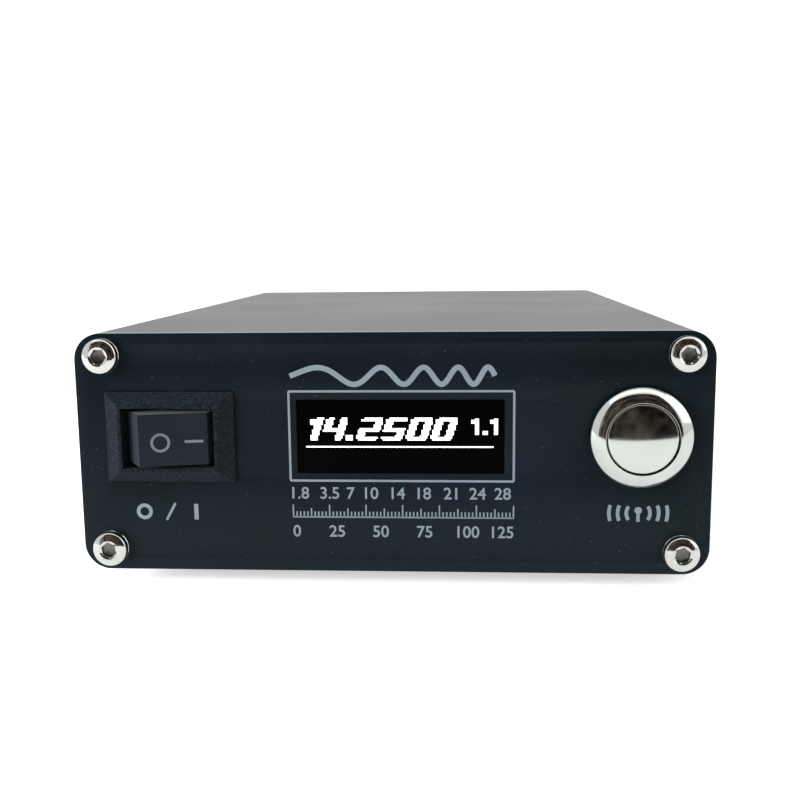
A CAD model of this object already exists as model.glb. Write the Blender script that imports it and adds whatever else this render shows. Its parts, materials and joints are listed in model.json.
import json
import math

import bmesh
import bpy
from mathutils import Matrix, Vector


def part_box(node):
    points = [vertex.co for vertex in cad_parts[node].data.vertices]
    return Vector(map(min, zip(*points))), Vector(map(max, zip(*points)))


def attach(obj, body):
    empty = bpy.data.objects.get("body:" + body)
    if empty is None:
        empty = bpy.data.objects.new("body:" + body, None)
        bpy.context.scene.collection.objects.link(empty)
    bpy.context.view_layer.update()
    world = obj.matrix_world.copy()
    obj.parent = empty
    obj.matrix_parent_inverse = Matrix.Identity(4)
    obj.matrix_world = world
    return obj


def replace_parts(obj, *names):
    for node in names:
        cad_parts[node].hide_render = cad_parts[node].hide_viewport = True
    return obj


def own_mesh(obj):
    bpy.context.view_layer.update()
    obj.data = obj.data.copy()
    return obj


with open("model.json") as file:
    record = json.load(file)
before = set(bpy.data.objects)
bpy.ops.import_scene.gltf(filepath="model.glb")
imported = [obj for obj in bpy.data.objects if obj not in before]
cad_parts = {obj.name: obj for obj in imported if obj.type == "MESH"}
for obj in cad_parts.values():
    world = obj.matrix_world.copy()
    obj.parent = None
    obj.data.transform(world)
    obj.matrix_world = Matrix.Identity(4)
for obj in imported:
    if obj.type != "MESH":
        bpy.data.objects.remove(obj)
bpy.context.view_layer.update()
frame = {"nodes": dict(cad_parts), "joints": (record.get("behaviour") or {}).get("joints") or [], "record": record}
nodes = frame["nodes"]
joints = {j["name"]: j for j in frame["joints"]}
MM = 0.001

# ---------- places in mm, all from the CAD ----------
panel_lo, panel_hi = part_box("front_panel")
YF = panel_lo.y / MM  # front face of the front panel
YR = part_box("rear_panel")[1].y / MM  # rear face of the rear panel
ZB = panel_lo.z / MM  # lower edge of both panels
CASE_W = (panel_hi.x - panel_lo.x) / MM
CASE_H = (panel_hi.z - panel_lo.z) / MM
PANEL_T = (panel_hi.y - panel_lo.y) / MM
PANEL_MID = ZB + CASE_H / 2
CORNER_R = 4.4  # of both panels, seen from the front
FRONT, REAR = -1, 1  # which way along y a turned piece faces


def middle(node):
    lo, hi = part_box(node)
    return (lo.x + hi.x) / 2 / MM, (lo.z + hi.z) / 2 / MM


def pz(height):
    """A height above the lower edge of the panels, as z."""
    return ZB + height


SW_X, SW_Z = middle("switch_housing")
WIN_X, WIN_Z = middle("display_window")
WIN_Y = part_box("display_window")[0].y / MM
BT_X, BT_Z = middle("button_body")


# ---------- materials ----------
def linear(r, g, b):
    """A colour given in 0 to 255 as it looks on a screen."""
    out = []
    for c in (r, g, b):
        c = c / 255
        out.append(c / 12.92 if c <= 0.04045 else ((c + 0.055) / 1.055) ** 2.4)
    return (*out, 1)


def shade(c, k):
    return (c[0] * k, c[1] * k, c[2] * k, 1)


mats = {}


class Mat:
    """A Principled material with object-space noise on its colour, roughness and bump."""

    def __init__(self, name):
        self.m = bpy.data.materials.new(name)
        self.m.use_nodes = True
        self.t = self.m.node_tree
        self.p = self.t.nodes["Principled BSDF"]
        self.co = self.t.nodes.new("ShaderNodeTexCoord")
        self.height = None
        mats[name] = self

    def put(self, **kw):
        for k, v in kw.items():
            self.p.inputs[k.replace("_", " ")].default_value = v

    def noise(self, scale, detail, rough, stretch=(1, 1, 1)):
        mp = self.t.nodes.new("ShaderNodeMapping")
        mp.inputs["Scale"].default_value = stretch
        self.t.links.new(self.co.outputs["Object"], mp.inputs["Vector"])
        n = self.t.nodes.new("ShaderNodeTexNoise")
        n.inputs["Scale"].default_value = scale
        n.inputs["Detail"].default_value = detail
        n.inputs["Roughness"].default_value = rough
        self.t.links.new(mp.outputs["Vector"], n.inputs["Vector"])
        return n.outputs["Fac"]

    def spread(self, value, lo, hi, from_lo=0.3, from_hi=0.7):
        """Maps a socket's from_lo to from_hi onto lo to hi."""
        r = self.t.nodes.new("ShaderNodeMapRange")
        r.inputs["From Min"].default_value = from_lo
        r.inputs["From Max"].default_value = from_hi
        r.inputs["To Min"].default_value = lo
        r.inputs["To Max"].default_value = hi
        self.t.links.new(value, r.inputs["Value"])
        return r.outputs["Result"]

    def mix(self, a, b, fac):
        """a and b are colours or sockets, fac is a socket."""
        n = self.t.nodes.new("ShaderNodeMix")
        n.data_type = "RGBA"
        ins = [s for s in n.inputs if s.type == "RGBA"]
        for s, v in zip(ins, (a, b)):
            if hasattr(v, "is_linked"):
                self.t.links.new(v, s)
            else:
                s.default_value = v
        self.t.links.new(fac, next(s for s in n.inputs if s.type == "VALUE"))
        return next(s for s in n.outputs if s.type == "RGBA")

    def colour(self, a, b, fac):
        self.t.links.new(self.mix(a, b, fac), self.p.inputs["Base Color"])

    def roughness(self, value, lo, hi):
        self.t.links.new(self.spread(value, lo, hi), self.p.inputs["Roughness"])

    def bump(self, value, depth):
        """depth is in mm. A second call adds its relief to the first."""
        b = self.t.nodes.new("ShaderNodeBump")
        b.inputs["Strength"].default_value = 1.0
        b.inputs["Distance"].default_value = depth * MM
        self.t.links.new(value, b.inputs["Height"])
        if self.height:
            self.t.links.new(self.height, b.inputs["Normal"])
        self.height = b.outputs["Normal"]
        self.t.links.new(self.height, self.p.inputs["Normal"])


def make(
    name, base, rough, bump, spec=0.5, metal=0.0, vary=0.12, grain=3500, patch=60, stretch=(1, 1, 1)
):
    """base colour, (lowest, highest) roughness, bump depth in mm, grain and patch size in 1/m"""
    m = Mat(name)
    m.put(Metallic=metal, Specular_IOR_Level=spec)
    fine = m.noise(grain, 3, 0.6, stretch)
    wide = m.noise(patch, 3, 0.55)
    m.colour(shade(base, 1 - vary), shade(base, 1 + vary), m.spread(wide, 0, 1))
    m.roughness(wide, *rough)
    m.bump(fine, bump)
    return m


def metal(name, base, rough, bump, **kw):
    return make(name, (*base, 1), rough, bump, metal=1, **kw)


def anodised_panel():
    """Black anodised aluminium, fine bead-blasted satin, with a few specks of dust."""
    m = Mat("anodised_panel")
    m.put(Metallic=0.0, Specular_IOR_Level=0.17, Specular_Tint=(0.80, 0.97, 1.0, 1))
    fine = m.noise(5200, 3, 0.6)
    wide = m.noise(38, 2, 0.5)
    specks = m.noise(2600, 1, 0.4)
    greenish = (0.0018, 0.0052, 0.0060, 1)
    bluish = (0.0035, 0.0057, 0.0108, 1)
    base = m.mix(greenish, bluish, m.spread(wide, 0, 1))
    m.colour(base, linear(58, 64, 68), m.spread(specks, 0, 1, 0.75, 0.78))
    m.roughness(wide, 0.42, 0.52)
    m.bump(fine, 0.006)


def anodised_case():
    """Extruded aluminium, with faint lines along its length."""
    m = Mat("anodised_case")
    m.put(Metallic=0.0, Specular_IOR_Level=0.36)
    fine = m.noise(3600, 4, 0.65)
    wide = m.noise(30, 3, 0.5)
    lines = m.noise(900, 2, 0.5, (1, 0.02, 1))
    m.colour(linear(36, 38, 41), linear(46, 48, 52), m.spread(wide, 0, 1))
    m.roughness(wide, 0.31, 0.36)
    m.bump(fine, 0.008)
    m.bump(lines, 0.002)


NYLON_TINT = (0.82, 0.95, 1.0, 1)


def switch_black():
    """Nylon with a coarse spark-eroded grain."""
    m = Mat("switch_black")
    m.put(Specular_IOR_Level=0.15, Specular_Tint=NYLON_TINT)
    m.put(Sheen_Weight=0.035, Sheen_Roughness=0.4, Sheen_Tint=(0.72, 0.92, 1.0, 1))
    coarse = m.noise(2900, 2, 0.55)
    fine = m.noise(6500, 2, 0.5)
    pits, peaks = (0.0016, 0.0026, 0.0042, 1), (0.0105, 0.0152, 0.0215, 1)
    m.colour(pits, peaks, m.spread(coarse, 0, 1, 0.40, 0.66))
    m.roughness(coarse, 0.42, 0.60)
    m.bump(coarse, 0.12)
    m.bump(fine, 0.012)


def rocker_black():
    """The rocker's finer nylon."""
    base = (0.0072, 0.0112, 0.0158, 1)
    m = make("rocker_black", base, (0.42, 0.52), 0.014, spec=0.17, grain=4200, patch=120)
    m.put(Specular_Tint=NYLON_TINT)
    m.put(Sheen_Weight=0.11, Sheen_Roughness=0.35, Sheen_Tint=(0.76, 0.93, 1.0, 1))


def metals():
    # the panels' cut edges, brighter than their faces
    metal("cut_edge", (0.30, 0.31, 0.32), (0.34, 0.46), 0.03, vary=0.25, grain=1500)
    metal("nickel", (0.605, 0.61, 0.58), (0.09, 0.15), 0.0008, vary=0.05, grain=1800, patch=600)
    metal("mirror_nickel", (0.575, 0.59, 0.56), (0.07, 0.12), 0.002, vary=0.05, grain=520, patch=260)
    metal("plated", (0.56, 0.55, 0.52), (0.20, 0.32), 0.004, vary=0.08, grain=1500, patch=160)
    # the unpolished bottom of a screw's socket
    metal("recess", (0.20, 0.195, 0.18), (0.38, 0.5), 0.02, vary=0.35, grain=900, patch=900)
    metal("steel", (0.55, 0.56, 0.58), (0.22, 0.36), 0.002, vary=0.08, patch=400)
    metal("brass", (0.72, 0.52, 0.24), (0.18, 0.32), 0.002, vary=0.10, patch=300)
    metal("copper", (0.72, 0.36, 0.20), (0.20, 0.34), 0.002, vary=0.12, patch=300)


def plastics():
    make("rubber", linear(22, 22, 23), (0.70, 0.86), 0.02, spec=0.35, grain=2200)
    make("white_plastic", linear(226, 224, 216), (0.30, 0.42), 0.004, vary=0.04)
    make("black_plastic", linear(24, 25, 26), (0.40, 0.56), 0.012, grain=2600)
    make("lead_insulation", linear(150, 28, 24), (0.35, 0.5), 0.006)
    make("ribbon", linear(176, 176, 178), (0.45, 0.6), 0.01, vary=0.06, grain=1200, stretch=(6, 1, 1))


def display_parts():
    smoked = (0.0008, 0.0008, 0.0009, 1)
    make("smoked_window", smoked, (0.06, 0.10), 0.0003, spec=0.008, vary=0.1)
    make("display_black", (0.002, 0.002, 0.002, 1), (0.08, 0.12), 0.0002, vary=0.1)
    make("display_board", linear(22, 62, 120), (0.32, 0.44), 0.004, vary=0.15)
    lit = make("display_light", (0.9, 0.92, 0.94, 1), (0.4, 0.5), 0.0005, spec=0.2, vary=0.03)
    lit.put(Emission_Color=(0.97, 0.985, 1.0, 1), Emission_Strength=0.75)


def circuit_parts():
    make("circuit_board", linear(18, 86, 52), (0.30, 0.42), 0.004, vary=0.16, patch=220)
    make("relay_case", linear(44, 50, 60), (0.36, 0.5), 0.008, vary=0.1)
    make("core_red", linear(150, 34, 28), (0.34, 0.5), 0.012, vary=0.15, grain=1600)
    make("capacitor_amber", linear(196, 140, 52), (0.28, 0.42), 0.02, grain=900)
    make("capacitor_sleeve", linear(28, 34, 66), (0.18, 0.28), 0.003, vary=0.1)


def inks():
    matt = {"rough": (0.48, 0.60), "bump": 0.004, "spec": 0.3, "grain": 4000, "patch": 300}
    make("rocker_print", (0.112, 0.148, 0.160, 1), vary=0.12, **matt)
    make("panel_print", (0.143, 0.181, 0.202, 1), vary=0.06, **matt)


for build in (
    anodised_panel,
    anodised_case,
    switch_black,
    rocker_black,
    metals,
    plastics,
    display_parts,
    circuit_parts,
    inks,
):
    build()

for s in frame["record"]["subparts"]:
    for material_slot in nodes[s["node"]].material_slots:
        material_slot.material = mats[s["material_slot"]].m


# ---------- mesh helpers, in mm ----------
def piece(name, bm, key, body="case", angle=30):
    """An object made of bm in the material key, sharp where faces meet at more than angle."""
    me = bpy.data.meshes.new(name)
    bmesh.ops.recalc_face_normals(bm, faces=bm.faces)
    bm.to_mesh(me)
    bm.free()
    me.transform(Matrix.Diagonal((MM, MM, MM, 1)))
    for p in me.polygons:
        p.use_smooth = True
    me.set_sharp_from_angle(angle=math.radians(angle))
    o = bpy.data.objects.new(name, me)
    bpy.context.scene.collection.objects.link(o)
    o.data.materials.append(mats[key].m)
    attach(o, body)
    return o


def skin(bm, a, b):
    """Faces between two closed rings of vertices, either of which may be a single point."""
    n = max(len(a), len(b))
    for i in range(n):
        j = (i + 1) % n
        if len(a) == 1:
            bm.faces.new((a[0], b[i], b[j]))
        elif len(b) == 1:
            bm.faces.new((a[i], a[j], b[0]))
        else:
            bm.faces.new((a[i], a[j], b[j], b[i]))


def join_rows(bm, rows, closed=False):
    for a, b in zip(rows, rows[1:] + rows[:1] if closed else rows[1:]):
        skin(bm, a, b)


def weld(bm):
    bmesh.ops.remove_doubles(bm, verts=bm.verts, dist=0.0005)


def lathe(bm, profile, x, z, y0, out, n):
    """Turns a profile of (radius, distance outward from y0) about an axis along y, in n steps.
    A radius may be a function of the turn, 0 to 1."""
    rings = []
    for r, d in profile:
        ring = []
        for i in range(n if callable(r) or r > 1e-6 else 1):
            rr = r(i / n) if callable(r) else r
            a = 2 * math.pi * i / n
            ring.append(bm.verts.new((x + rr * math.cos(a), y0 + out * d, z + rr * math.sin(a))))
        rings.append(ring)
    join_rows(bm, rings)
    return rings


def thread(d0, d1, r, depth, pitch):
    """Rows of a helical thread from d0 to d1, shallower at its two ends."""
    steps = 8  # rows to each turn
    rows = []
    n = int(abs(d1 - d0) / pitch * steps)
    for k in range(n + 1):
        d = d0 + (d1 - d0) * k / n
        fade = min(1, k / steps, (n - k) / steps)

        def radius(u, d=d, fade=fade):
            t = (d / pitch - u) % 1
            flank = min(1, max(0, abs(2 * t - 1) * 1.25 - 0.12))
            return r - depth * (1 - fade * (1 - flank))

        rows.append((radius, d))
    return rows


def hexagonal(flat, turn):
    """Radius of a hexagon that is flat wide across its flats, as a function of the turn."""
    return lambda u: flat / 2 / math.cos(math.radians((360 * u - turn + 30) % 60 - 30))


def arc(cx, cy, r, a0, a1, n):
    """n + 1 points from a0 to a1 degrees."""
    return [
        (
            cx + r * math.cos(math.radians(a0 + (a1 - a0) * i / n)),
            cy + r * math.sin(math.radians(a0 + (a1 - a0) * i / n)),
        )
        for i in range(n + 1)
    ]


def circle(cx, cz, r, n=96):
    turns = [2 * math.pi * i / n for i in range(n)]
    return [(cx + r * math.cos(a), cz + r * math.sin(a)) for a in turns]


def rounded_rect(cx, cz, w, h, r, n):
    pts = []
    for sx, sz, a in ((1, 1, 0), (-1, 1, 90), (-1, -1, 180), (1, -1, 270)):
        pts += arc(cx + sx * (w / 2 - r), cz + sz * (h / 2 - r), r, a, a + 90, n)
    return pts


def mesh_of(curve):
    """The mesh of a curve that is then removed."""
    o = bpy.data.objects.new("outline", curve)
    bpy.context.scene.collection.objects.link(o)
    bpy.context.view_layer.update()
    me = bpy.data.meshes.new_from_object(o.evaluated_get(bpy.context.evaluated_depsgraph_get()))
    bpy.data.objects.remove(o)
    bpy.data.curves.remove(curve)
    return me


def plate(loops, y0, y1, bevel):
    """A flat plate with rounded edges from y0 to y1. The first loop is its outline, the rest holes."""
    cu = bpy.data.curves.new("outline", "CURVE")
    cu.dimensions = "2D"
    cu.fill_mode = "BOTH"
    for loop in loops:
        sp = cu.splines.new("POLY")
        sp.points.add(len(loop) - 1)
        for p, (x, z) in zip(sp.points, loop):
            p.co = (x, z, 0, 1)
        sp.use_cyclic_u = True
    cu.extrude = (y1 - y0) / 2 - bevel
    cu.bevel_depth = bevel
    cu.bevel_resolution = 2
    cu.offset = -bevel
    me = mesh_of(cu)
    me.transform(Matrix(((1, 0, 0, 0), (0, 0, -1, (y0 + y1) / 2), (0, 1, 0, 0), (0, 0, 0, 1))))
    bm = bmesh.new()
    bm.from_mesh(me)
    bpy.data.meshes.remove(me)
    weld(bm)
    return bm


def merge(bm, other):
    me = bpy.data.meshes.new("part")
    other.to_mesh(me)
    other.free()
    bm.from_mesh(me)
    bpy.data.meshes.remove(me)


def softened(node, name, width, key, body, segments):
    """A copy of a CAD node's shape with its sharp edges rounded over width, as on moulded plastic."""
    bm = bmesh.new()
    bm.from_mesh(nodes[node].data)
    bmesh.ops.transform(bm, matrix=Matrix.Diagonal((1000, 1000, 1000, 1)), verts=bm.verts)
    bmesh.ops.remove_doubles(bm, verts=bm.verts, dist=0.0008)
    bmesh.ops.dissolve_limit(bm, angle_limit=math.radians(0.6), verts=bm.verts, edges=bm.edges)
    o = piece(name, bm, key, body)
    mod = o.modifiers.new("round", "BEVEL")
    mod.width = width * MM
    mod.segments = segments
    mod.limit_method = "ANGLE"
    mod.angle_limit = math.radians(25)
    mod.use_clamp_overlap = True
    mod.miter_outer = "MITER_ARC"
    mod.harden_normals = True
    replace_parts(o, node)


# ---------- front panel ----------
HEAD_R = 2.95  # corner screws' heads
lo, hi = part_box("front_panel_screws")
screw_xs = (-(hi.x / MM - HEAD_R), hi.x / MM - HEAD_R)
screw_zs = (lo.z / MM + HEAD_R, hi.z / MM - HEAD_R)
SCREWS = [(x, z) for x in screw_xs for z in screw_zs]

loops = [rounded_rect(0, PANEL_MID, CASE_W, CASE_H, CORNER_R, n=14)]
loops += [circle(x, z, r=1.7, n=40) for x, z in SCREWS]
loops.append(rounded_rect(SW_X, SW_Z, w=19.6, h=13.2, r=0.3, n=3))
loops.append(rounded_rect(WIN_X, WIN_Z, w=34.0, h=12.3, r=0.25, n=3))
loops.append(circle(BT_X, BT_Z, r=7.15))
panel = piece("front_plate", plate(loops, YF, YF + PANEL_T, bevel=0.08), "anodised_panel")
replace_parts(panel, "front_panel")


def bare_edges(o):
    """The sawn edge round a panel has the metal's own colour."""
    o.data.materials.append(mats["cut_edge"].m)
    corner_x, corner_z = CASE_W / 2 - CORNER_R, CASE_H / 2 - CORNER_R
    for p in o.data.polygons:
        if abs(p.normal.y) >= 0.3:
            continue
        x, z = abs(p.center.x / MM), abs(p.center.z / MM - PANEL_MID)
        straight = x > CASE_W / 2 - 0.02 or z > CASE_H / 2 - 0.02
        in_corner = x > corner_x - 0.1 and z > corner_z - 0.1
        curved = in_corner and math.hypot(x - corner_x, z - corner_z) > CORNER_R - 0.04
        if straight or curved:
            p.material_index = 1


bare_edges(panel)


# ---------- button-head screws ----------
HEAD_WALL_R = 2.89
HEAD_WALL_H = 0.92
HEAD_FILLET = 0.46
DOME_R = 6.3
DOME_H = 1.96
SHANK_R = 1.5
SHANK_L = 9.0
KEY = 2.2  # across the flats of the hexagon well


def screw(bm, x, z, y0, out, turn):
    profile = [(0, -SHANK_L), (SHANK_R - 0.1, -SHANK_L), (SHANK_R, 0.2 - SHANK_L), (SHANK_R, 0.0)]
    profile += [(HEAD_R, 0.0), (HEAD_R, 0.06), (HEAD_WALL_R, 0.14), (HEAD_WALL_R, HEAD_WALL_H)]
    profile += arc(HEAD_WALL_R - HEAD_FILLET, HEAD_WALL_H, HEAD_FILLET, 8, 64, 8)
    profile += arc(0, DOME_H - DOME_R, DOME_R, 67, 74, 7)
    profile += [(1.60, 1.75), (1.38, 1.62)]
    rings = lathe(bm, profile, x, z, y0, out, 96)

    well = [(hexagonal(KEY + 0.14, turn), 1.56), (hexagonal(KEY + 0.06, turn), 1.50)]
    well += [(hexagonal(KEY, turn), 0.85), (0, 0.6)]
    well = lathe(bm, well, x, z, y0, out, 96)
    skin(bm, rings[-1], well[0])
    for ring in well[1:]:
        for v in ring:
            for f in v.link_faces:
                f.material_index = 1


for name, y0, out, node in (
    ("front_screws", YF, FRONT, "front_panel_screws"),
    ("rear_screws", YR, REAR, "rear_panel_screws"),
):
    bm = bmesh.new()
    for (x, z), turn in zip(SCREWS, (8, 27, 51, 16)):
        screw(bm, x, z, y0, out, turn)
    o = piece(name, bm, "nickel", angle=24)
    o.data.materials.append(mats["recess"].m)
    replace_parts(o, node)

# ---------- rocker switch ----------
softened("switch_housing", "switch_frame", 0.34, "switch_black", "case", segments=4)
softened("rocker", "rocker_moulding", 0.26, "rocker_black", "rocker", segments=3)

PIVOT = Vector(joints["rocker_tilt"]["pos_m"]) / MM
REST_TILT = math.radians(13)
FACE_OUT = 5.2  # from the pivot to the middle of the hollowed face
HOLLOW_R = 60
PRINT_LIFT = 0.02
PRINT_SINK = 0.05


def on_rocker(x, z, lift):
    """A point over the rocker's hollowed face, at rest."""
    y = math.sqrt(HOLLOW_R**2 - x * x) - HOLLOW_R - FACE_OUT - lift
    c, s = math.cos(REST_TILT), math.sin(REST_TILT)
    return (PIVOT.x + c * x - s * y, PIVOT.y + s * x + c * y, PIVOT.z + z)


def across(a, b):
    """Corners of a mark's section from a to b, as (place, lift)."""
    return ((a, -PRINT_SINK), (a, PRINT_LIFT), (b, PRINT_LIFT), (b, -PRINT_SINK))


def rocker_ring(bm, cx, cz, r, w):
    rows = []
    for rr, lift in across(r - w / 2, r + w / 2):
        rows.append([bm.verts.new(on_rocker(x, z, lift)) for x, z in circle(cx, cz, rr)])
    join_rows(bm, rows, closed=True)


def rocker_bar(bm, x0, x1, z0, z1):
    steps = 12
    rows = []
    for i in range(steps + 1):
        x = x0 + (x1 - x0) * i / steps
        rows.append([bm.verts.new(on_rocker(x, z, lift)) for z, lift in across(z0, z1)])
    join_rows(bm, rows)
    for row in (rows[0], rows[-1]):
        bm.faces.new(row)


bm = bmesh.new()
rocker_ring(bm, -2.1, -0.42, r=1.36, w=0.44)
rocker_bar(bm, x0=1.78, x1=4.8, z0=-0.58, z1=-0.14)
piece("rocker_marks", bm, "rocker_print", "rocker")

# ---------- push button, as profiles of (radius, distance out of the panel) ----------
RING_R = 8.25
RING_DOME_R = 4.3
BARREL_R = 7.0
BARREL_L = 18.0
BORE_R = 5.8
STEM_BORE_R = 3.55
CAP_R = 5.6
CAP_OUT = 2.75
CAP_DOME_R = 26
CAP_FILLET = 0.2
STEM_R = 3.5
GROOVE_R = 2.8

profile = [(BORE_R, -6.0), (BORE_R, 2.32), (5.83, 2.37)]
profile += arc(4.956, -1.806, RING_DOME_R, 77, 43, 17)
profile += [(8.18, 1.02), (8.23, 0.94), (RING_R, 0.84), (RING_R, 0.46), (8.19, 0.40)]
profile += [(BARREL_R, 0.40), (BARREL_R, -BARREL_L), (BORE_R, -BARREL_L), (BORE_R, -9.0)]
profile += [(STEM_BORE_R, -9.0), (STEM_BORE_R, -6.0), (BORE_R, -6.0)]
bm = bmesh.new()
lathe(bm, profile, BT_X, BT_Z, YF, FRONT, 192)
weld(bm)
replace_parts(piece("button_ring", bm, "mirror_nickel", angle=32), "button_body")

profile = [(0, CAP_OUT)] + arc(0, CAP_OUT - CAP_DOME_R, CAP_DOME_R, 89.5, 79, 21)
profile += arc(CAP_R - CAP_FILLET, 1.985, CAP_FILLET, 76, 0, 8)
profile += [(CAP_R, 0.0), (STEM_R, 0.0), (STEM_R, -9.2), (GROOVE_R, -9.2), (GROOVE_R, -10.25)]
profile += [(3.2, -10.25), (3.2, -11.0), (1.2, -11.0), (1.2, -12.2), (0, -12.2)]
bm = bmesh.new()
lathe(bm, profile, BT_X, BT_Z, YF, FRONT, 192)
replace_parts(piece("button_face", bm, "mirror_nickel", "tune_button", angle=32), "button_cap")


# ---------- springs, each squashed by the joint that works it ----------
def coil(bm, start, along, length, mean_r, wire_r, turns):
    """A coil of round wire on the axis along, from start."""
    steps, sides = 36, 12  # of each turn, of the wire
    side = Vector((0, 0, 1)).cross(along)
    rings = []
    for i in range(turns * steps + 1):
        a = 2 * math.pi * i / steps
        radial = side * -math.cos(a) - Vector((0, 0, math.sin(a)))
        rise = wire_r + (length - 2 * wire_r) * i / (turns * steps)
        centre = start + along * rise + radial * mean_r
        ring = []
        for j in range(sides):
            b = 2 * math.pi * j / sides
            place = centre + radial * wire_r * math.cos(b) + along * wire_r * math.sin(b)
            ring.append(bm.verts.new(place))
        rings.append(ring)
    join_rows(bm, rings)
    for ring in (rings[0], rings[-1]):
        bm.faces.new(ring)


def spring(name, node, body, joint, start, along, length, fixed, **wire):
    """fixed is the end that stays on its seat: 0 at start, 1 at the other end."""
    bm = bmesh.new()
    coil(bm, start, along, length, **wire)
    o = piece(name, bm, "steel", body, angle=60)
    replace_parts(o, node)
    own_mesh(o)


stem_axis = Vector((-math.sin(REST_TILT), math.cos(REST_TILT), 0))
spring(
    "plunger_coil",
    "rocker_spring",
    "rocker",
    "plunger_slide",
    start=PIVOT + stem_axis * 0.55,
    along=stem_axis,
    length=2.8,
    fixed=0,
    mean_r=0.6,
    wire_r=0.16,
    turns=5,
)
lo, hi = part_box("button_spring")
spring(
    "button_coil",
    "button_spring",
    "case",
    "button_press",
    start=Vector((BT_X, lo.y / MM, BT_Z)),
    along=Vector((0, 1, 0)),
    length=(hi.y - lo.y) / MM,
    fixed=1,
    mean_r=4.6,
    wire_r=0.38,
    turns=4,
)

# ---------- coaxial sockets, as profiles of (radius, distance out of the rear panel) ----------
FLANGE = 25.4
FLANGE_T = 1.6
FLANGE_SCREW = 9.1  # from the middle to each screw, both ways
SHELL_R = 7.6
SHELL_BORE_R = 6.3
THREAD_R = 7.94
THREAD_PITCH = 1.058
INSULATOR_R = 4.95


def coaxial_shell(node, name):
    x, z = middle(node)
    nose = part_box(node)[1].y / MM - YR
    loops = [rounded_rect(x, z, FLANGE, FLANGE, r=0.5, n=5), circle(x, z, INSULATOR_R)]
    both = (-FLANGE_SCREW, FLANGE_SCREW)
    loops += [circle(x + a, z + b, r=1.65, n=40) for a in both for b in both]
    bm = plate(loops, YR, YR + FLANGE_T, bevel=0.18)
    profile = [(INSULATOR_R, -3.0), (INSULATOR_R, 1.2), (SHELL_BORE_R, 1.2)]
    profile += [(SHELL_BORE_R, nose - 0.4), (6.62, nose), (7.3, nose), (7.5, nose - 0.2)]
    profile += thread(nose - 0.3, 2.6, THREAD_R, 0.5, THREAD_PITCH)
    profile += [(7.44, 2.5), (7.44, 1.62), (SHELL_R, 1.58), (SHELL_R, -3.0), (INSULATOR_R, -3.0)]
    barrel = bmesh.new()
    lathe(barrel, profile, x, z, YR, REAR, 120)
    weld(barrel)
    merge(bm, barrel)
    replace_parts(piece(name, bm, "plated", angle=24), node)


coaxial_shell("input_socket_shell", "input_shell")
coaxial_shell("antenna_socket_shell", "antenna_shell")

# ---------- earth stud ----------
STUD_R = 1.99
stud_head = hexagonal(7, 30)
head_end = -PANEL_T - 2.8
x, z = middle("ground_stud")
profile = [(0, head_end), (stud_head, head_end), (stud_head, -PANEL_T), (1.98, -PANEL_T)]
profile += [(1.98, 8.3), (1.8, 8.34), (1.8, 9.06), (1.9, 9.1)]
profile += thread(9.3, 14.3, STUD_R, 0.36, 0.7) + [(1.6, 14.4), (1.35, 14.6), (0, 14.6)]
bm = bmesh.new()
lathe(bm, profile, x, z, YR, REAR, 96)
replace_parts(piece("earth_stud", bm, "brass", angle=28), "ground_stud")


# ---------- print on the front panel, a hair's breadth proud of it ----------
def stroke(bm, pts, width, closed=False, lift=PRINT_LIFT):
    """A printed line of even width along pts."""
    sink = 0.01
    n = len(pts)
    left, right = [], []
    for i in range(n):
        a = Vector(pts[i - 1]) if (closed or i > 0) else Vector(pts[i])
        b = Vector(pts[(i + 1) % n]) if (closed or i < n - 1) else Vector(pts[i])
        p = Vector(pts[i])
        d0 = (p - a).normalized() if (p - a).length > 1e-9 else (b - p).normalized()
        d1 = (b - p).normalized() if (b - p).length > 1e-9 else d0
        t = (d0 + d1).normalized()
        normal = Vector((-t.y, t.x))
        k = width / 2 / max(0.3, abs(normal.dot(Vector((-d0.y, d0.x)))))
        left.append(p + normal * k)
        right.append(p - normal * k)
    rows = []
    for side, out in ((left, -sink), (left, lift), (right, lift), (right, -sink)):
        rows.append([bm.verts.new((p.x, YF - out, p.y)) for p in side])
    for a, b in zip(rows, rows[1:] + rows[:1]):
        for i in range(n if closed else n - 1):
            j = (i + 1) % n
            bm.faces.new((a[i], a[j], b[j], b[i]))
    if not closed:
        for i in (0, n - 1):
            bm.faces.new([r[i] for r in rows])


NUMERAL_H = 1.95


def numerals(bm, text, x, z):
    """Plain numerals, their lower left at x, z."""
    cu = bpy.data.curves.new("numerals", "FONT")
    cu.body = text
    cu.size = NUMERAL_H / 0.70
    cu.offset = 0.035
    cu.extrude = 0.012
    cu.resolution_u = 4
    me = mesh_of(cu)
    left = min(v.co.x for v in me.vertices)
    me.transform(Matrix(((1, 0, 0, x - left), (0, 0, -1, YF - 0.008), (0, 1, 0, z), (0, 0, 0, 1))))
    bm.from_mesh(me)
    bpy.data.meshes.remove(me)
    bmesh.ops.remove_doubles(bm, verts=bm.verts, dist=0.001)
    bmesh.ops.dissolve_degenerate(bm, edges=bm.edges, dist=0.0005)


def power_symbols(bm):
    """Ring, slash and bar under the switch."""
    stroke(bm, circle(-41.4, pz(10.05), r=1.06, n=72), width=0.62, closed=True)
    stroke(bm, [(-37.7, pz(8.6)), (-36.1, pz(11.5))], width=0.42)
    stroke(bm, [(-32.6, pz(8.7)), (-32.6, pz(11.4))], width=0.72)


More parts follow.
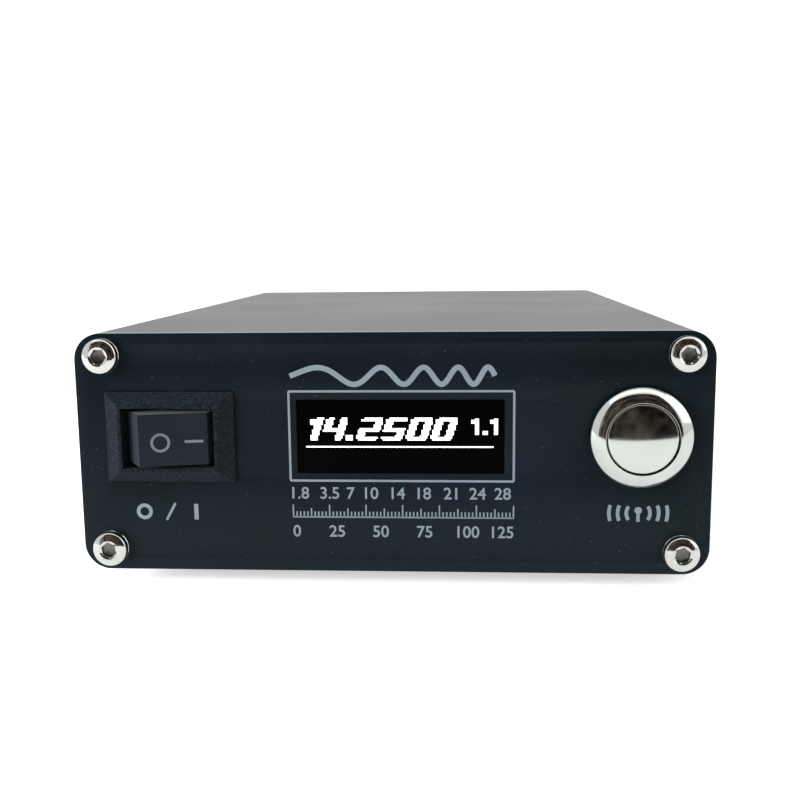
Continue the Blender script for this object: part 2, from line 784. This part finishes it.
def aerial_symbol(bm):
    """An aerial with radiating arcs under the button."""
    x, dot_z = 40.35, pz(10.75)
    stroke(bm, [(x, pz(8.85)), (x, dot_z - 0.3)], width=0.56)
    stroke(bm, circle(x, dot_z, r=0.30, n=40), width=0.58, closed=True, lift=0.026)
    for r, half_angle in ((1.9, 36), (3.3, 23), (4.7, 16.5)):
        for side in (0, 180):
            stroke(bm, arc(x, pz(10.3), r, side - half_angle, side + half_angle, 24), width=0.58)


def sweep(bm):
    """A sweep from a low to a high frequency over the display."""
    x0, x1, steps, height = -16.2, 17.1, 480, 1.38
    pts = []
    for i in range(steps + 1):
        u = i / steps
        phase = 2 * math.pi * (1.4 * u + 3.1 * u * u)
        pts.append((x0 + (x1 - x0) * u, pz(32.9) + height * math.sin(phase)))
    stroke(bm, pts, width=0.88)


def display_frame(bm):
    stroke(bm, rounded_rect(1.85, pz(22.93), w=36.7, h=14.9, r=0.2, n=4), width=0.37, closed=True)


SCALE_X = -16.2
SCALE_L = 36.4
SCALE_Z = 9.3  # above the lower edge of the panel
# left ends of the upper numbers, each the start of a band in MHz
BANDS = (
    (-16.3, "1.8"),
    (-11.6, "3.5"),
    (-7.2, "7"),
    (-4.2, "10"),
    (0.2, "14"),
    (4.5, "18"),
    (8.8, "21"),
    (13.0, "24"),
    (17.1, "28"),
)


def scales(bm):
    """Numbers, graduations and numbers under the display."""
    for x, text in BANDS:
        numerals(bm, text, x, pz(12.45))
    for i in range(61):
        x = SCALE_X + SCALE_L * i / 60
        tall = 2.1 if i % 10 == 0 else (1.5 if i % 5 == 0 else 0.95)
        stroke(bm, [(x, pz(SCALE_Z)), (x, pz(SCALE_Z) + tall)], width=0.24)
    stroke(bm, [(SCALE_X - 0.1, pz(SCALE_Z)), (SCALE_X + SCALE_L + 0.1, pz(SCALE_Z))], width=0.22)
    # how far left of its graduation each lower number starts
    for i, left in enumerate((0.1, 1.3, 1.3, 1.3, 1.9, 3.5)):
        numerals(bm, str(25 * i), SCALE_X + SCALE_L * i / 5 - left, pz(5.95))


for name, draw in (
    ("print_power_symbols", power_symbols),
    ("print_aerial_symbol", aerial_symbol),
    ("print_sweep", sweep),
    ("print_display_frame", display_frame),
    ("print_scales", scales),
):
    bm = bmesh.new()
    draw(bm)
    piece(name, bm, "panel_print")


# ---------- lit dots of the display ----------
DOTS_Y = WIN_Y - 0.02
DOTS_T = 0.03
GLYPH_H = 13  # rows of a numeral
BAR_H = 2  # rows of its level strokes
STROKES = {
    "0": ("top", "bottom", "upper left", "lower left", "upper right", "lower right"),
    "2": ("top", "middle", "bottom", "upper right", "lower left"),
    "4": ("upper left", "middle", "upper right", "lower right"),
    "5": ("top", "middle", "bottom", "upper left", "lower right"),
}


def glyph(ch, w=12, post=4):
    """Cells of a block numeral, as (column from the left, row from the bottom), and its width.
    post is the number of columns in its upright strokes."""
    h = GLYPH_H

    def block(columns, rows):
        return {(c, r) for c in range(*columns) for r in range(*rows)}

    if ch == ".":
        return block((0, 4), (0, 3)), 4
    if ch == "1":
        return block((3, 3 + post), (0, h)) | block((0, 4), (h - 4, h - 1)), 7
    mid = (h - BAR_H) // 2
    blocks = {
        "top": block((0, w), (h - BAR_H, h)),
        "middle": block((0, w), (mid, mid + BAR_H)),
        "bottom": block((0, w), (0, BAR_H)),
        "upper left": block((0, post), (mid, h)),
        "lower left": block((0, post), (0, mid + 1)),
        "upper right": block((w - post, w), (mid, h)),
        "lower right": block((w - post, w), (0, mid + 1)),
    }
    cells = set().union(*(blocks[part] for part in STROKES[ch]))
    corners = {(0, 0), (w - 1, 0), (0, h - 1), (w - 1, h - 1)}
    return cells - corners, w


def lit_rect(bm, x0, x1, z0, z1):
    corners = ((x0, z0), (x1, z0), (x1, z1), (x0, z1))
    bm.faces.new([bm.verts.new((x, DOTS_Y, z)) for x, z in corners])


def lit_text(bm, text, x0, z0, dot, slant=0.0, **shape):
    """Numerals of square dots, two dots apart, each row shifted by slant."""
    column = 0
    for ch in text:
        cells, wide = glyph(ch, **shape)
        for c, r in cells:
            x = x0 + (column + c + int(r * slant)) * dot
            z = z0 + r * dot
            lit_rect(bm, x, x + dot, z, z + dot)
        column += wide + 2


bm = bmesh.new()
lit_text(bm, "14.2500", -13.9, pz(22.24), dot=0.29, slant=0.36)
lit_text(bm, "1.1", 13.3, pz(23.2), dot=0.205, w=6, post=3)
bmesh.ops.remove_doubles(bm, verts=bm.verts, dist=0.01)
lit_rect(bm, -13.8, 16.9, pz(21.05), pz(21.28))  # a line under them
back = bmesh.ops.extrude_face_region(bm, geom=bm.faces[:])["geom"]
back = [v for v in back if isinstance(v, bmesh.types.BMVert)]
bmesh.ops.translate(bm, vec=(0, DOTS_T, 0), verts=back)
piece("display_digits", bm, "display_light")


# ---------- floor and dark card, in metres ----------
def stage_plane(name, corners, material):
    me = bpy.data.meshes.new(name)
    me.from_pydata([Vector(c) for c in corners], [], [tuple(range(len(corners)))])
    o = bpy.data.objects.new(name, me)
    bpy.context.scene.collection.objects.link(o)
    me.materials.append(material.m)
    return o


def pale_floor():
    """It ends 13 cm in front of the panel, which gives the polished metal its horizon.
    It glows more to the camera than it does as a light."""
    front, far, z = -0.205, 4, -0.0002
    m = Mat("floor")
    m.put(Specular_IOR_Level=0.1, Emission_Color=(1, 1, 1, 1))
    m.colour((0.90, 0.90, 0.90, 1), (0.93, 0.93, 0.93, 1), m.noise(8, 2, 0.5))
    m.roughness(m.noise(14, 2, 0.5), 0.7, 0.85)
    path = m.t.nodes.new("ShaderNodeLightPath")
    glow = m.spread(path.outputs["Is Camera Ray"], 0.16, 0.5, 0, 1)
    m.t.links.new(glow, m.p.inputs["Emission Strength"])
    stage_plane("floor", [(-far, front, z), (far, front, z), (far, far, z), (-far, far, z)], m)


def dark_card():
    """A card far in front, seen only as a reflection in the upper half of the polished metal."""
    half, y, low, high = 0.78, -0.75, -0.3, 1.6
    m = Mat("dark_card")
    m.put(Specular_IOR_Level=0.0, Roughness=1.0)
    cloudy = m.spread(m.noise(6, 3, 0.65), 0, 1, 0.40, 0.66)
    m.colour((0.004, 0.003, 0.003, 1), (0.11, 0.088, 0.068, 1), cloudy)
    corners = [(-half, y, low), (half, y, low), (half, y, high), (-half, y, high)]
    card = stage_plane("dark_card", corners, m)
    card.visible_camera = False
    card.visible_shadow = False
    card.visible_diffuse = False


pale_floor()
dark_card()


# ---------- light ----------
def area(name, at, look, size, power):
    light = bpy.data.lights.new(name, "AREA")
    light.shape = "RECTANGLE"
    light.size, light.size_y = size
    light.energy = power
    o = bpy.data.objects.new(name, light)
    bpy.context.scene.collection.objects.link(o)
    o.location = at
    o.rotation_mode = "QUATERNION"
    o.rotation_quaternion = (Vector(look) - Vector(at)).to_track_quat("-Z", "Y")
    return o


area("over", at=(0.0, -0.42, 0.9), look=(0, -0.05, 0), size=(1.5, 0.34), power=2)
side_left = area("side_left", at=(-0.86, -0.48, 0.22), look=(0, -0.03, 0.02), size=(0.5, 0.4), power=20)
side_left.visible_glossy = False
area("side_right", at=(0.9, -0.25, 0.5), look=(0, 0, 0.02), size=(0.9, 0.8), power=2)

# the world is white to the camera, and a little dimmer as a light and in reflections
world = bpy.data.worlds.new("studio")
bpy.context.scene.world = world
world.use_nodes = True
wt = world.node_tree
wt.nodes.clear()


def sky(colour, strength):
    n = wt.nodes.new("ShaderNodeBackground")
    n.inputs["Color"].default_value = colour
    n.inputs["Strength"].default_value = strength
    return n.outputs["Background"]


def choose(ray, otherwise, when):
    """The shader when for that kind of ray, and otherwise for all other rays."""
    n = wt.nodes.new("ShaderNodeMixShader")
    wt.links.new(rays.outputs[ray], n.inputs["Fac"])
    wt.links.new(otherwise, n.inputs[1])
    wt.links.new(when, n.inputs[2])
    return n.outputs["Shader"]


rays = wt.nodes.new("ShaderNodeLightPath")
seen = sky((1, 1, 1, 1), 1.05)
lit = sky((0.96, 0.98, 1.0, 1), 0.68)
mirrored = sky((0.97, 0.985, 1.0, 1), 0.97)
world_out = wt.nodes.new("ShaderNodeOutputWorld")
indirect = choose("Is Glossy Ray", lit, mirrored)
wt.links.new(choose("Is Camera Ray", indirect, seen), world_out.inputs["Surface"])

# ---------- camera ----------
YAW, PITCH, ROLL = (math.radians(v) for v in (-3.818, -8.846, -0.623))
flat = math.cos(PITCH)
forward = Vector((math.sin(YAW) * flat, math.cos(YAW) * flat, math.sin(PITCH)))
level = Vector((math.cos(YAW), -math.sin(YAW), 0))
upright = level.cross(forward)
right = level * math.cos(ROLL) + upright * math.sin(ROLL)
up = upright * math.cos(ROLL) - level * math.sin(ROLL)
place = (0.012384, YF * MM - 0.159201, 0.056282)

cam = bpy.data.cameras.new("camera")
cam.lens = 44.79
cam.sensor_width = 36
cam.clip_start, cam.clip_end = 0.01, 20
cam_obj = bpy.data.objects.new("camera", cam)
scene = bpy.context.scene
scene.collection.objects.link(cam_obj)
cam_obj.matrix_world = Matrix(
    [(right[k], up[k], -forward[k], place[k]) for k in range(3)] + [(0, 0, 0, 1)]
)
scene.camera = cam_obj
scene.view_settings.view_transform = "Standard"
scene.view_settings.look = "None"
